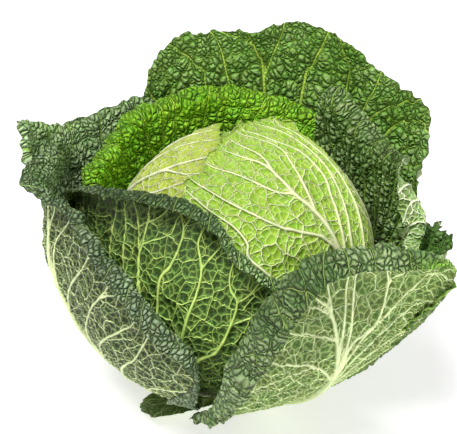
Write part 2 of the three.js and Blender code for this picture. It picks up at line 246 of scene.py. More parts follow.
# a twig: a bent line that leaves a vein at a point of it to one hand, and its steps from 0 to 1
def twigFrom(path, k, hand, branch, random):
    heading = unit(path[k] - path[k - 1])
    turn = hand * math.radians(random.uniform(*branch["turn"]))
    c, s = math.cos(turn), math.sin(turn)
    aside = np.array([c * heading[0] - s * heading[1], s * heading[0] + c * heading[1]])
    reach, bend = branch["length"] * random.uniform(0.7, 1.2), random.uniform(-0.15, 0.3)
    step = np.linspace(0.0, 1.0, int(reach / twigs["step"]) + 3)[:, None]
    wobble = twigs["wobble"] * reach * np.sin(step * random.uniform(4, 8) + random.uniform(0, 6)) * step
    twig = path[k] + reach * step * (aside * (1 - bend * step) + heading * bend * step)
    return twig + wobble * np.array([-aside[1], aside[0]]), step[:, 0]


# twigs along each vein, to both sides in turn; each ends where it meets a line already there
def addTwigs(lines, branch, random):
    taken = np.concatenate([path for path, radii in lines])
    for path, radii in list(lines):
        way = wayAlong(path)
        hand, at = random.choice([-1, 1]), branch["every"] * random.uniform(0.4, 1.0)
        while at < way[-1] - twigs["lastGap"]:
            k = min(max(int(np.searchsorted(way, at)), 1), len(path) - 1)
            twig, step = twigFrom(path, k, hand, branch, random)
            clear = np.abs(taken[None] - twig[:, None]).max(2).min(1) > twigs["clear"]
            free = np.nonzero(clear)[0]
            if len(free):
                blocked = np.nonzero(~clear[free[0] :])[0]
                end = free[0] + blocked[0] + 1 if len(blocked) else len(twig)
                if end - free[0] > 1:
                    thinned = branch["thick"] * radii[k] * (1 - twigs["taper"] * step[:end])
                    lines.append((twig[:end], thinned + twigs["thinnest"]))
                    taken = np.concatenate([taken, twig[free[0] : end]])
            hand, at = -hand, at + branch["every"] * random.uniform(0.7, 1.3)


# the vein tree as short straight bits in the flat sheet: the leaf's main veins, smoothed, and twigs
# where the leaf has them
def veinBits(leaf, flat):
    random = np.random.default_rng(leaf["seed"] + 50)
    lines = []
    for first, last, places in leaf["veins"]:
        smooth = splineThrough(np.array(places) / 100, np.linspace(0.0, 1.0, 12 * len(places)))
        radii = first + (last - first) * np.linspace(0.0, 1.0, len(smooth)) ** 0.7
        lines.append((onFlat(flat["net"], smooth[:, 0], smooth[:, 1]), leaf["veinScale"] * radii))
    for branch in leaf["branches"]:
        addTwigs(lines, branch, random)
    starts = np.concatenate([p[:-1] for p, r in lines])
    ends = np.concatenate([p[1:] for p, r in lines])
    radii = np.concatenate([np.stack([r[:-1], r[1:]], -1) for p, r in lines])
    return starts, ends, radii


# for each point the distance to the nearest bit, with a sign for its side, the bit's radius, and
# the ridge, the highest bell over any bit; points are taken in tiles, each with the bits near it
def treeField(x, y, bits, tile=24.0, margin=8.0):
    starts, ends, radii = bits
    span = ends - starts
    squared = np.maximum((span**2).sum(1), 1e-6)
    low, high = np.minimum(starts, ends) - margin, np.maximum(starts, ends) + margin
    px, py = x.ravel(), y.ravel()
    side, girth, ridge = np.full(px.size, 2 * margin), np.full(px.size, thinnest), np.zeros(px.size)
    keys = np.floor(px / tile).astype(int) * 1000 + np.floor(py / tile).astype(int)
    order = np.argsort(keys, kind="stable")
    for chunk in np.split(order, np.nonzero(np.diff(keys[order]))[0] + 1):
        cx, cy = px[chunk], py[chunk]
        near = (high > (cx.min(), cy.min())).all(1) & (low < (cx.max(), cy.max())).all(1)
        if not near.any():
            continue
        bit, s0, length, r = span[near], starts[near], squared[near], radii[near]
        dx, dy = cx[:, None] - s0[None, :, 0], cy[:, None] - s0[None, :, 1]
        s = np.clip((dx * bit[:, 0] + dy * bit[:, 1]) / length, 0, 1)
        ex, ey = dx - s * bit[:, 0], dy - s * bit[:, 1]
        away = np.sqrt(ex**2 + ey**2)
        radius = r[:, 0] + (r[:, 1] - r[:, 0]) * s
        ridge[chunk] = (radius * np.exp(-((away / radius) ** 2))).max(1)
        best = (away - veinTop * radius).argmin(1)[:, None]
        hand = np.where(bit[:, 0] * dy - bit[:, 1] * dx < 0, -1.0, 1.0)
        side[chunk] = (np.take_along_axis(away, best, 1) * np.take_along_axis(hand, best, 1))[:, 0]
        girth[chunk] = np.take_along_axis(radius, best, 1)[:, 0]
    return side.reshape(x.shape), girth.reshape(x.shape), ridge.reshape(x.shape)


# cells


# the mix of two or three unsigned 32-bit words that the Voronoi texture draws its points from; its
# fixed numbers are the texture's own, so that the meshes have the same cells as the finish
def scramble(*values):
    def turned(v, k):
        return (v << np.uint32(k)) | (v >> np.uint32(32 - k))

    a = np.full(values[0].shape, 0xDEADBEEF + (len(values) << 2) + 13 & 0xFFFFFFFF, np.uint32)
    b, c = a + values[1], a.copy()
    if len(values) > 2:
        c = c + values[2]
    a = a + values[0]
    c = (c ^ b) - turned(b, 14)
    a = (a ^ c) - turned(c, 11)
    b = (b ^ a) - turned(a, 25)
    c = (c ^ b) - turned(b, 16)
    a = (a ^ c) - turned(c, 4)
    b = (b ^ a) - turned(a, 14)
    c = (c ^ b) - turned(b, 24)
    return c / 4294967295.0


def word(x):  # the bits of a float as a whole number
    return x.astype(np.float32).view(np.uint32)


# distance to the edge between cells, as the Voronoi texture has it: the nearest of nine points,
# and the least distance to a line midway between it and another
def cellEdge(x, y):
    i, j = np.floor(x), np.floor(y)
    one = word(np.ones(x.shape))
    points = []
    for dj in (-1, 0, 1):
        for di in (-1, 0, 1):
            square = word(i + di), word(j + dj)
            px = i + di + netLoose * scramble(*square) - x
            py = j + dj + netLoose * scramble(*square, one) - y
            points.append((px, py))
    sx, sy = (np.stack(v) for v in zip(*points))
    nearest = (sx**2 + sy**2).argmin(0)[None]
    ax, ay = np.take_along_axis(sx, nearest, 0), np.take_along_axis(sy, nearest, 0)
    dx, dy = sx - ax, sy - ay
    size = np.sqrt(dx**2 + dy**2)
    away = np.where(size > 0.01, ((sx + ax) * dx + (sy + ay) * dy) / 2 / np.maximum(size, 0.01), 99.0)
    return away.min(0)


def dome(away, reach):  # a blister's height over the distance from its edge: a rounded top
    return 1.0 - (1.0 - np.clip(away / reach, 0.0, 1.0)) ** 2


# meshes


# what a leaf has where its own settings don't say otherwise
outerRelief = dict(cell=11.5, smallCell=4.6, rimCell=3.4, big=1.2, small=1.4, rib=0.85, sharp=1.0)
plainLeaf = dict(
    relief=outerRelief, swell=(0, 4, 0), thick=1.1, ragged=1.6, frill=1.3, stand=0.0, pucker=1.4, bulge=0.0,
    fineFrom=8.0, veinScale=1.0, rimFrom=0.0, paleFrom=2.0, lightAndShadeSpots=(), branches=(),
)
# what all leaves share; lengths and bands are in millimetres, but for two bands across the leaf
allLeaves = dict(
    sway=1.5, swayLength=9.0,  # how far the net's lines are bent, and over what length
    rooted=(0.02, 0.2), puckered=(0.3, 0.7),  # shares along the leaf where relief and puckers set in
    fineBand=16.0,  # over this band small cells take over from rim cells
    bigNearRim=0.5,  # how much shallower big cells are among rim cells
    puckerLength=17.0, frillBand=9.0,
    thinBand=6.0, thinShare=0.45,  # the thickness falls to this share at the margin
    innerRib=0.2,  # share of a vein's ridge that shows on the inner face
    marginBand=7.0, rimBand=0.1,  # the rim's colour: its width, and the share across where it sets in
    paleAmount=0.85, paleBand=0.06,  # the pale side: how pale, and the share across where it sets in
    stalkEnd=0.45,  # share along the leaf where the stalk's colour ends
    lipShade=0.5, lipBand=5.0, lipPoints=160,  # the shade under another leaf's lip
)


# two faces over one grid, split alike, with a strip around: a closed blade
def shellFaces(across, along):
    i, j = np.meshgrid(np.arange(across), np.arange(along), indexing="ij")
    row, last = along + 1, across * (along + 1)
    a = (i * row + j).ravel()
    outer = np.stack([a, a + row, a + row + 1, a + 1], -1)
    shift = (across + 1) * row
    sides = [np.arange(across) * row, last + np.arange(along)]
    sides += [np.arange(across, 0, -1) * row + along, np.arange(along, 0, -1)]
    edge = np.concatenate(sides)
    following = np.roll(edge, -1)
    strip = np.stack([following, edge, edge + shift, following + shift], -1)
    return np.concatenate([outer, outer[:, ::-1] + shift, strip])


def makePiece(name, points, faces, attributes, uv, material):
    mesh = bpy.data.meshes.new(name)
    mesh.from_pydata((points * millimetre).tolist(), [], faces)
    for key, values in attributes.items():
        mesh.attributes.new(key, "FLOAT", "POINT").data.foreach_set("value", values.astype(np.float32))
    layer = mesh.uv_layers.new(name="net")
    corners = np.zeros(len(mesh.loops), np.int32)
    mesh.loops.foreach_get("vertex_index", corners)
    layer.data.foreach_set("uv", uv[corners].astype(np.float32).ravel())
    mesh.polygons.foreach_set("use_smooth", np.ones(len(mesh.polygons), bool))
    mesh.materials.append(material)
    mesh.update()
    piece = bpy.data.objects.new(name, mesh)
    bpy.context.scene.collection.objects.link(piece)
    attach(piece, "root")
    return piece


# the net's map over a leaf, and how deep the leaf is sunk between the lines: domes over cells of
# three sizes, of which the smallest are near the rim
def sunkNet(leaf, x, y, gap, nearRim):
    relief, seed, long = leaf["relief"], leaf["seed"], allLeaves["swayLength"]
    moved = [v + allLeaves["sway"] * smoothNoise(x / long, y / long, seed + k) for v, k in ((x, 1), (y, 2))]
    mapX, mapY = moved[0] / netUnit + netShift * seed, moved[1] / netUnit
    edges, domes = {}, {}
    for key, reach in domeReach.items():
        size = relief[key]
        edges[key] = np.minimum(size * cellEdge(mapX * netUnit / size, mapY * netUnit / size), gap)
        domes[key] = dome(np.minimum(edges[key], edges["cell"]), reach * size)
    fine = domes["rimCell"] * nearRim * relief["rimCell"] / relief["smallCell"]
    blister = domes["smallCell"] * (1 - nearRim) + fine
    big = relief["big"] * domes["cell"] * (1 - allLeaves["bigNearRim"] * nearRim)
    return mapX, mapY, big + relief["small"] * blister


# painted light and shade over a leaf: bell-shaped lighter or darker patches, and a painted shadow beside
# the lip of a leaf that lies over it
def paintLightAndShade(leaf, sheet, u, w):
    paintedLightAndShade = 0 * w
    for atU, atW, wide, long, amount in leaf["lightAndShadeSpots"]:
        paintedLightAndShade += amount * np.exp(-(((u[:, None] - atU) / wide) ** 2) - ((w - atW) / long) ** 2)
    if "under" in leaf:
        lip = acrossAt({**plainLeaf, **leaf["under"]}, np.linspace(0.0, 1.0, allLeaves["lipPoints"]), 1.0)
        away = np.min([np.linalg.norm(sheet - point, axis=-1) for point in lip], axis=0)
        paintedLightAndShade -= allLeaves["lipShade"] * np.exp(-((away / allLeaves["lipBand"]) ** 2))
    return paintedLightAndShade


def both(v):  # the same values for the points of the outer face and the inner one
    return np.concatenate([v.ravel(), v.ravel()])


# a leaf: its sheet, sunk between the veins so that blisters stand on the inner face and the net on
# the outer one, and given a thickness
def makeLeaf(name, node, settings):
    leaf, shared = {**plainLeaf, **settings}, allLeaves
    across, along, rolled = leaf["mesh"]
    seed, rib = leaf["seed"], leaf["relief"]["rib"]
    u = np.linspace(0.0, 1.0, across + 1)
    sheet = leafSheet(leaf, u, along, rolled)
    flat = layFlat(sheet)
    length, reach = flat["length"], flat["reach"][:, None]
    w, inland = length / reach, reach - length  # share along the ray, and millimetres from the rim
    x, y = np.moveaxis(onFlat(flat["net"], u[:, None] + 0 * w, w), -1, 0)
    toMargin = np.minimum(inland, np.minimum(u, 1 - u)[:, None] * np.pi * reach * 0.5)
    side, girth, ridge = treeField(x, y, veinBits(leaf, flat))
    gap = np.maximum(np.abs(side) - veinTop * girth, 0.0)
    nearRim = 1 - ramp(toMargin, leaf["fineFrom"], leaf["fineFrom"] + shared["fineBand"])
    mapX, mapY, sunk = sunkNet(leaf, x, y, gap, nearRim)
    sunk = sunk * ramp(w, *shared["rooted"])
    lumps = sum(high * smoothNoise(x / long, y / long, seed + k) for high, long, k in rimLumps)
    broad = smoothNoise(x / shared["puckerLength"], y / shared["puckerLength"], seed + 6)
    pucker = leaf["pucker"] * (broad + nearRim * lumps) * ramp(w, *shared["puckered"])
    wave = ruffle(wayAlong(sheet[:, along]), seed + 7, edgeWaves)
    frill = (leaf["frill"] * wave[:, None] + leaf["stand"]) * (1 - ramp(inland, 0.0, shared["frillBand"]))
    lift = pucker - sunk + frill
    normal = unit(np.cross(np.gradient(sheet, axis=0), np.gradient(sheet, axis=1)))
    thinShare = shared["thinShare"]
    half = leaf["thick"] / 2 * (thinShare + (1 - thinShare) * ramp(toMargin, 0.0, shared["thinBand"]))
    outer = sheet + normal * (lift + half + ridge * rib)[..., None]
    inner = sheet + normal * (lift - half + shared["innerRib"] * ridge * rib)[..., None]
    points = np.concatenate([outer.reshape(-1, 3), inner.reshape(-1, 3)]) + [0, 0, headHeight]
    rimFrom, paleFrom = leaf["rimFrom"], leaf["paleFrom"]
    margin = 1 - ramp(toMargin, 0.0, shared["marginBand"])
    margin = margin * ramp(u, rimFrom - shared["rimBand"], rimFrom)[:, None]
    pale = shared["paleAmount"] * ramp(u, paleFrom - shared["paleBand"], paleFrom)[:, None] + 0 * x
    attributes = dict(
        veinSide=both(side),
        veinGirth=both(girth),
        veinAway=both(np.abs(side)),
        nearRim=both(nearRim),
        margin=both(margin),
        paintedLightAndShade=both(paintLightAndShade(leaf, sheet, u, w)),
        stalk=both(1 - ramp(w, 0.0, shared["stalkEnd"])),
        outside=np.concatenate([np.ones(x.size), pale.ravel()]),
    )
    faces = shellFaces(across, along + rolled).tolist()
    uv = np.stack([both(mapX), both(mapY)], -1)
    piece = makePiece(name, points, faces, attributes, uv, leafMaterial(name, leaf))
    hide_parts(node)
    print(name, "done:", 2 * len(faces), "triangles")


# finishes


def colour(code):  # a web colour as linear light
    v = np.array([int(code[k : k + 2], 16) / 255 for k in (1, 3, 5)])
    linear = np.where(v <= 0.04045, v / 12.92, ((v + 0.055) / 1.055) ** 2.4)
    return (*[float(c) for c in linear], 1.0)


# a number in a node tree: what is worked out from it is a new Math node
class Number:
    def __init__(self, tree, socket):
        self.tree, self.socket = tree, socket

    __add__ = lambda a, b: a.tree.math("ADD", a, b)
    __sub__ = lambda a, b: a.tree.math("SUBTRACT", a, b)
    __rsub__ = lambda a, b: a.tree.math("SUBTRACT", b, a)
    __mul__ = lambda a, b: a.tree.math("MULTIPLY", a, b)
    __truediv__ = lambda a, b: a.tree.math("DIVIDE", a, b)
    __rtruediv__ = lambda a, b: a.tree.math("DIVIDE", b, a)
    __pow__ = lambda a, b: a.tree.math("POWER", a, b)


# a small maker of node trees
class Tree:
    def __init__(self, nodeTree):
        self.tree = nodeTree

    def put(self, target, value):  # a socket takes a link or a fixed value
        value = value.socket if isinstance(value, Number) else value
        if isinstance(value, bpy.types.NodeSocket):
            self.tree.links.new(value, target)
        else:
            target.default_value = value

    def node(self, kind, inputs=None, **settings):
        made = self.tree.nodes.new(kind)
        for key, value in settings.items():
            setattr(made, key, value)
        for key, value in (inputs or {}).items():
            self.put(made.inputs[key], value)
        return made

    def number(self, kind, output, inputs=None, **settings):
        return Number(self, self.node(kind, inputs, **settings).outputs[output])

    def math(self, operation, a, b=0.0, clamp=False):
        return self.number("ShaderNodeMath", 0, {0: a, 1: b}, operation=operation, use_clamp=clamp)

    def least(self, a, b):
        return self.math("MINIMUM", a, b)

    def most(self, first, *others):
        for other in others:
            first = self.math("MAXIMUM", first, other)
        return first

    def mix(self, factor, a, b):  # a colour between two colours
        inputs = {0: factor, 6: a, 7: b}
        return self.node("ShaderNodeMix", inputs, data_type="RGBA", clamp_factor=True).outputs[2]

    def fade(self, factor, a, b):  # a number between two numbers
        inputs = {0: factor, 2: a, 3: b}
        return self.number("ShaderNodeMix", 0, inputs, data_type="FLOAT", clamp_factor=True)

    def step(self, value, low, high, first=0.0, last=1.0):  # smooth step
        inputs = {0: value, 1: low, 2: high, 3: first, 4: last}
        return self.number("ShaderNodeMapRange", 0, inputs, interpolation_type="SMOOTHSTEP", clamp=True)

    def line(self, away, half):  # 1 on a line of this half width, 0 beside it
        return self.step(away, 0.45 * half, 1.5 * half, 1.0, 0.0)

    def attribute(self, name):
        return self.number("ShaderNodeAttribute", "Fac", attribute_name=name, attribute_type="GEOMETRY")

    def noise(self, place, scale, detail=3.0, roughness=0.55):
        inputs = {"Vector": place, "Scale": scale, "Detail": detail, "Roughness": roughness}
        return self.number("ShaderNodeTexNoise", "Fac", inputs)

    def cells(self, place, scale, feature="DISTANCE_TO_EDGE"):  # the same cells as the mesh has
        inputs = {"Vector": place, "Scale": scale, "Randomness": netLoose}
        return self.node("ShaderNodeTexVoronoi", inputs, voronoi_dimensions="2D", feature=feature).outputs

    def edge(self, place, scale, size):  # the distance to the edge between cells, in millimetres
        return Number(self, self.cells(place, scale)["Distance"]) * size

    def dome(self, away, reach):
        part = 1.0 - self.math("DIVIDE", away, reach, clamp=True)
        return 1.0 - part**2.0

    def vector(self, operation, inputs):
        return self.node("ShaderNodeVectorMath", inputs, operation=operation).outputs[0]

    def sway(self, place, around, scale, amount):  # a place moved a little, so that lines aren't straight
        noise = self.node("ShaderNodeTexNoise", {"Vector": around, "Scale": scale, "Detail": 2.0})
        centred = self.vector("SUBTRACT", {0: noise.outputs["Color"], 1: (0.5, 0.5, 0.5)})
        return self.vector("ADD", {0: place, 1: self.vector("SCALE", {0: centred, "Scale": amount})})

    def upward(self, normal):  # how far a normal points up, a little to the left and the front
        inputs = {0: normal, 1: skyward}
        return self.number("ShaderNodeVectorMath", "Value", inputs, operation="DOT_PRODUCT")

    def shaded(self, paint, value, hue=0.5):  # a colour made lighter or darker
        inputs = {"Color": paint, "Value": value, "Hue": hue}
        return self.node("ShaderNodeHueSaturation", inputs).outputs["Color"]

    def bump(self, height, strength, distance):
        inputs = {"Height": height, "Strength": strength, "Distance": distance}
        return self.node("ShaderNodeBump", inputs).outputs["Normal"]


skyward = (-0.33, -0.25, 0.91)  # where most of the light comes from
# depth: how strongly the relief's painted light and shade show in the colour
plainFinish = dict(
    bloom="#93a58a", rim="#6f9a35", stalk="#a9bf6e", bloomAmount=0.35, rimAmount=0.12, toneSpread=0.4,
    gloss=0.4, fineLine=0.4, depth=1.3,
)
skinColours = (
    "outerCell", "outerShadeAndTone", "outerVein", "innerCell", "innerCreaseShade", "innerVein", "bloom", "rim", "stalk",
)
skinNumbers = (
    "cell", "smallCell", "rimCell", "sharp", "bloomAmount", "rimAmount", "toneSpread", "fineLine",
)
# scales of noise are per metre; half widths of lines and heights of relief are in millimetres
skin = dict(
    broad=30.0, cloud=95.0, speckle=520.0, wrinkle=330.0,  # scales of noise
    sway=260.0, swayAmount=0.17,  # scale of the noise that bends lines, and how far, in map units
    bigLine=0.4, smallLine=0.24, rimLine=0.2, finestLine=0.16, threadLine=0.2,  # half widths
    finestScale=2.1, finestSize=2.4,  # how much finer than small cells, and the size taken for them
    veinFoot=1.15, veinEdge=0.22,  # half width of a vein's foot: girths, and millimetres beside
    slack=0.7,  # how far the signed distance to a vein may fall below the plain one
    # veinShadeCut: share of the relief's painted light and shade taken off the outer face's veins
    bigShow=0.42, finestShow=0.12, threadShow=0.3, stalkShow=0.6, veinShadeCut=0.8,
    cellTone=0.6, cloudTone=0.9, speckleTone=0.7, hueSpread=0.02,
    roughness=0.62, veinRoughness=0.5, roughSpread=0.3,
    bigHeight=0.34, smallHeight=0.2, cellDepth=-0.3,  # relief of the outer face
    innerSmall=1.35, innerRim=1.15, innerBig=0.5, innerFinest=0.22,  # blisters of the inner face
    wrinkleHeight=0.3, bump=0.9,
)


# leaf skin: pale veins and net over sunk cells on the outer face, with painted shade in their hollows; on
# the inner face domed blisters with painted shade in their creases, a grey waxy bloom and a painted sheen
# on their tops, and thin bright veins; small random shifts of tone
def leafSkinGroup():
    group = bpy.data.node_groups.new("leafSkin", "ShaderNodeTree")
    sockets = [("INPUT", "Color", skinColours), ("INPUT", "Float", skinNumbers)]
    sockets += [("OUTPUT", "Color", ("colour",)), ("OUTPUT", "Float", ("roughness", "height", "open"))]
    for way, kind, names in sockets:
        for name in names:
            group.interface.new_socket(name, in_out=way, socket_type="NodeSocket" + kind)
    t = Tree(group)
    paint = t.node("NodeGroupInput").outputs
    given = {key: Number(t, paint[key]) for key in skinNumbers}
    small, fineLine = given["smallCell"], given["fineLine"]
    place = t.node("ShaderNodeTexCoord").outputs["Object"]
    flat = t.node("ShaderNodeUVMap", uv_map="net").outputs["UV"]
    flat = t.sway(flat, place, skin["sway"], skin["swayAmount"])
    girth, outside, nearRim = t.attribute("veinGirth"), t.attribute("outside"), t.attribute("nearRim")
    # the signed distance makes a vein's middle sharp; midway between two veins, where its sign turns
    # within a face, the plain one keeps it from zero
    away = t.most(t.math("ABSOLUTE", t.attribute("veinSide")), t.attribute("veinAway") - skin["slack"])
    broad, cloud = t.noise(place, skin["broad"]), t.noise(place, skin["cloud"])
    speckle = t.noise(place, skin["speckle"], 3.0, 0.6)
    # the net: distances to the edges of big, small and rim cells, no further than to the next vein
    gap = t.most(away - girth * veinTop, 0.0)
    edges = {key: t.least(t.edge(flat, netUnit / given[key], given[key]), gap) for key in domeReach}
    bigEdge = edges["cell"]
    smallEdge, rimEdge = t.least(edges["smallCell"], bigEdge), t.least(edges["rimCell"], bigEdge)
    bigDome = t.dome(bigEdge, given["cell"] * domeReach["cell"])
    smallDome = t.dome(smallEdge, small * domeReach["smallCell"])
    blister = t.fade(nearRim, smallDome, t.dome(rimEdge, given["rimCell"] * domeReach["rimCell"]))
    finest = t.edge(flat, netUnit * skin["finestScale"] / small, skin["finestSize"])
    bigLine = t.line(bigEdge, skin["bigLine"])
    smallLine = t.fade(nearRim, t.line(smallEdge, skin["smallLine"]), t.line(rimEdge, skin["rimLine"]))
    # the veins: from 1 on the middle line to 0 at the foot, and a mask that widens this to a flat top
    vein = t.math("SUBTRACT", 1.0, away / (girth * skin["veinFoot"] + skin["veinEdge"]), clamp=True)
    veinMask = t.step(vein, 0.02, 0.42)
    # outer face
    finestLine = t.line(finest, skin["finestLine"]) * skin["finestShow"]
    outerNet = t.most(veinMask, bigLine * (fineLine + skin["bigShow"]), smallLine * fineLine, finestLine)
    # painted shade: outer cells darker towards the bottoms of their hollows, mixed with darker clouds of
    # tone
    depth = t.step(blister * 0.7 + cloud * 0.6, 0.25, 0.95)
    outerFace = t.mix(depth, paint["outerCell"], paint["outerShadeAndTone"])
    outerFace = t.mix(outerNet, outerFace, paint["outerVein"])
    # inner face
    # painted shade in the creases between blisters, where the clouds are
    creaseShade = (1.0 - t.step(blister, -0.1, 0.6)) * t.step(cloud, 0.25, 0.65)
    # grey waxy bloom with a painted sheen: lighter towards the blister tops
    bloom = t.step(blister, 0.15, 0.95) * given["bloomAmount"] * t.step(broad + speckle * 0.35, 0.4, 0.85)
    thread = t.line(bigEdge, skin["threadLine"]) * (t.step(broad, 0.45, 0.6) * skin["threadShow"])
    innerFace = t.mix(creaseShade, paint["innerCell"], paint["innerCreaseShade"])
    innerFace = t.mix(bloom, innerFace, paint["bloom"])
    innerFace = t.mix(t.most(t.step(vein, 0.35, 0.75), thread), innerFace, paint["innerVein"])
    face = t.mix(outside, innerFace, outerFace)
    face = t.mix(t.attribute("margin") * given["rimAmount"], face, paint["rim"])
    face = t.mix(t.step(t.attribute("stalk"), 0.1, 1.0) * skin["stalkShow"], face, paint["stalk"])
    # tone: each cell a little lighter or darker, and clouds over the whole leaf; on top of it the painted
    # light and shade of the leaf's patches and lip shadow
    random = t.node("ShaderNodeSeparateColor", {0: t.cells(flat, netUnit / small, "F1")["Color"]}).outputs
    tone, tint = Number(t, random[0]), Number(t, random[1])
    shift = (tone - 0.5) * skin["cellTone"] + (broad - 0.5)
    shift = shift + (cloud - 0.5) * skin["cloudTone"] + (speckle - 0.5) * skin["speckleTone"]
    value = shift * given["toneSpread"] + (t.attribute("paintedLightAndShade") + 1.0)
    # height in millimetres over the mesh
    ridge = vein**0.6 * (girth * 0.5 + 0.2)
    outerHeight = ridge + bigLine * skin["bigHeight"] + smallLine * skin["smallHeight"]
    outerHeight = outerHeight + (blister + bigDome) * skin["cellDepth"]
    innerHeight = blister * t.fade(nearRim, skin["innerSmall"], skin["innerRim"])
    innerHeight = innerHeight + bigDome * skin["innerBig"] + t.step(finest, 0.0, 0.9) * skin["innerFinest"]
    wrinkle = t.noise(place, skin["wrinkle"], 4.0, 0.62) * skin["wrinkleHeight"]
    rough = t.fade(outerNet, skin["roughness"], skin["veinRoughness"])
    t.node("NodeGroupOutput", {
        "colour": t.shaded(face, value, (tint - 0.5) * skin["hueSpread"] + 0.5),
        "roughness": rough + (speckle - 0.5) * skin["roughSpread"],
        "height": t.fade(outside, innerHeight, outerHeight) * given["sharp"] + wrinkle,
        "open": 1.0 - veinMask * (outside * skin["veinShadeCut"]),
    })
    return group


leafSkin = leafSkinGroup()


def paints(*codes, **others):  # a finish: the first of its colours in their order, and what else it has
    return {**dict(zip(skinColours, codes)), **others}


def newMaterial(name):
    material = bpy.data.materials.new(name)
    material.use_nodes = True
    return material, material.node_tree.nodes["Principled BSDF"], Tree(material.node_tree)


def leafMaterial(name, leaf):
    finish = {**leaf["relief"], **plainFinish, **leaf["finish"]}
    material, shader, t = newMaterial(name)
    given = {key: colour(finish[key]) for key in skinColours}
    given.update({key: finish[key] for key in skinNumbers})
    made = t.node("ShaderNodeGroup", given, node_tree=leafSkin).outputs
    normal = t.bump(made["height"], skin["bump"], millimetre)
    # painted light and shade from the relief: the colour is made lighter where the bumped normal faces the
    # sky more than the leaf does, darker where it faces less
    level = t.node("ShaderNodeNewGeometry").outputs["Normal"]
    paintedRelief = (t.upward(normal) - t.upward(level)) * made["open"]
    t.put(shader.inputs["Base Color"], t.shaded(made["colour"], paintedRelief * finish["depth"] + 1.0))
    t.put(shader.inputs["Roughness"], made["roughness"])
    t.put(shader.inputs["Normal"], normal)
    shader.inputs["Specular IOR Level"].default_value = finish["gloss"]
    return material


# outer leaves; u goes from 0 to 1 across a leaf, left to right seen from outside, and w along it
# base: azimuth, latitude, distance and half width of the line beside the stump where the rays start
# rim rows, across the leaf: azimuth, latitude, distance, roll length, turn, flare
# mesh: steps across, along the blade and along the roll; swell: height, count and phase of waves
# veins: radius at the start and at the end, and the places between them, u and w in hundredths
# branches: the way between twigs, their length, turn and share of their vein's radius
# lightAndShadeSpots: painted light and shade: middle in u and w, half widths across and along, and how much
# lighter, or darker below 0
# relief: sizes of three kinds of cells, depth of the big and the small ones, rib, how far veins stand
# out as a share of their radius, and sharp, the strength of bumps
# thick, ragged, frill, stand, pucker and bulge: millimetres of thickness, of notches and waves in the
# edge, of its lift, of unevenness and of belly; fineFrom: rim cells reach so far from the margin
# rimFrom and paleFrom: from this u on the margin has the rim's colour, and the inner face the outer's

leafBack = dict(
    base=(166, -75.3, 95.4, 6), mesh=(260, 118, 4), swell=(3, 4, 0.1), seed=11, frill=1.6, ragged=2.2,
    rim=[
        (112, -12, 108, 2, 20, 2.6), (116, 8, 118, 2, 20, 2.6), (120, 13, 134, 3, 30, 2.6),
        (125, 20, 143, 3, 40, 2.6), (134, 24, 148, 3, 40, 2.6), (146, 31, 151, 3, 30, 2.6),
        (163, 32, 155, 3, 20, 2.6), (179, 30, 156, 3, 20, 2.6), (193, 29, 156, 3, 20, 2.6),
        (202, 23, 151, 3, 30, 2.4), (207, 14, 142, 3, 30, 2.2), (212, -6, 120, 2, 30, 2),
    ],
    veins=[
        (2.2, 0.5, [(56, 0), (60, 60), (61, 88), (61.8, 93), (63.2, 100)]),
        (0.6, 0.4, [(60.7, 85), (58.5, 95), (57.5, 100)]),
        (0.5, 0.3, [(62.5, 96), (65, 98), (67.8, 100)]),
        (2.2, 0.5, [(55, 0), (55, 60), (54.2, 84), (53.2, 88), (52, 94), (51, 100)]),
        (1.4, 0.4, [(53, 5), (49, 60), (47.2, 88), (46.8, 93), (48.2, 97), (49, 100)]),
        (1.3, 0.4, [(51, 10), (45, 70), (43.2, 85), (41.5, 94), (40.8, 100)]),
        (1.3, 0.4, [(50, 10), (44, 62), (42.5, 80), (36.5, 94), (30.8, 100)]),
        (1.2, 0.4, [(48, 10), (40, 62), (37.2, 83), (34, 90), (23.2, 100)]),
        (1.2, 0.4, [(57, 20), (66, 78), (67.8, 94), (69.5, 100)]),
        (1.2, 0.4, [(58, 15), (70, 76), (71.2, 88), (73.8, 92), (78, 100)]),
        (1.2, 0.4, [(59, 10), (78, 66), (84, 86), (88, 100)]),
        (1.0, 0.4, [(60, 6), (88, 50), (94, 75), (96, 97)]),
        (1.1, 0.4, [(47, 10), (30, 55), (22, 80), (15, 97)]),
        (1.0, 0.4, [(46, 6), (18, 45), (8, 70), (5, 95)]),
    ],
    finish=paints(
        "#91a974", "#7b965c", "#cfdcac", "#6a9a26", "#345a0a", "#bcdc58", bloom="#aac487",
        bloomAmount=0.6, rim="#68893e", rimAmount=0.3, depth=0.85,
    ),
)

leafInnerBack = dict(
    base=(200, -74, 88.3, 7), mesh=(190, 84, 14), swell=(1.5, 5, 0.3), seed=12,
    rim=[
        (144, -10, 97, 5, 60, 3), (148, 6, 104, 7, 80, 3), (156, 16, 109, 11, 100, 3),
        (170, 21, 113, 14, 110, 3), (187, 23.5, 115, 14, 110, 3), (202, 23, 115, 14, 110, 3),
        (214, 22, 112, 14, 110, 3), (226, 19, 106, 14, 110, 3), (238, 19, 101, 13, 110, 3),
        (247, 16, 97, 11, 100, 3), (253, 3, 93.5, 7, 80, 3), (256, -12, 91, 5, 60, 3),
    ],
    veins=fanOfVeins((8, 18, 28, 38, 46, 56, 66, 75, 84, 93), 1.1),
    relief={**outerRelief, "cell": 9.5, "smallCell": 4.0, "rimCell": 3.2, "small": 1.6},
    finish=paints(
        "#8fab58", "#6f9036", "#c6d992", "#7ab810", "#3f6803", "#a3cc35", bloom="#a9d548",
        bloomAmount=0.45, rim="#8cbd38", rimAmount=0.25,
    ),
)

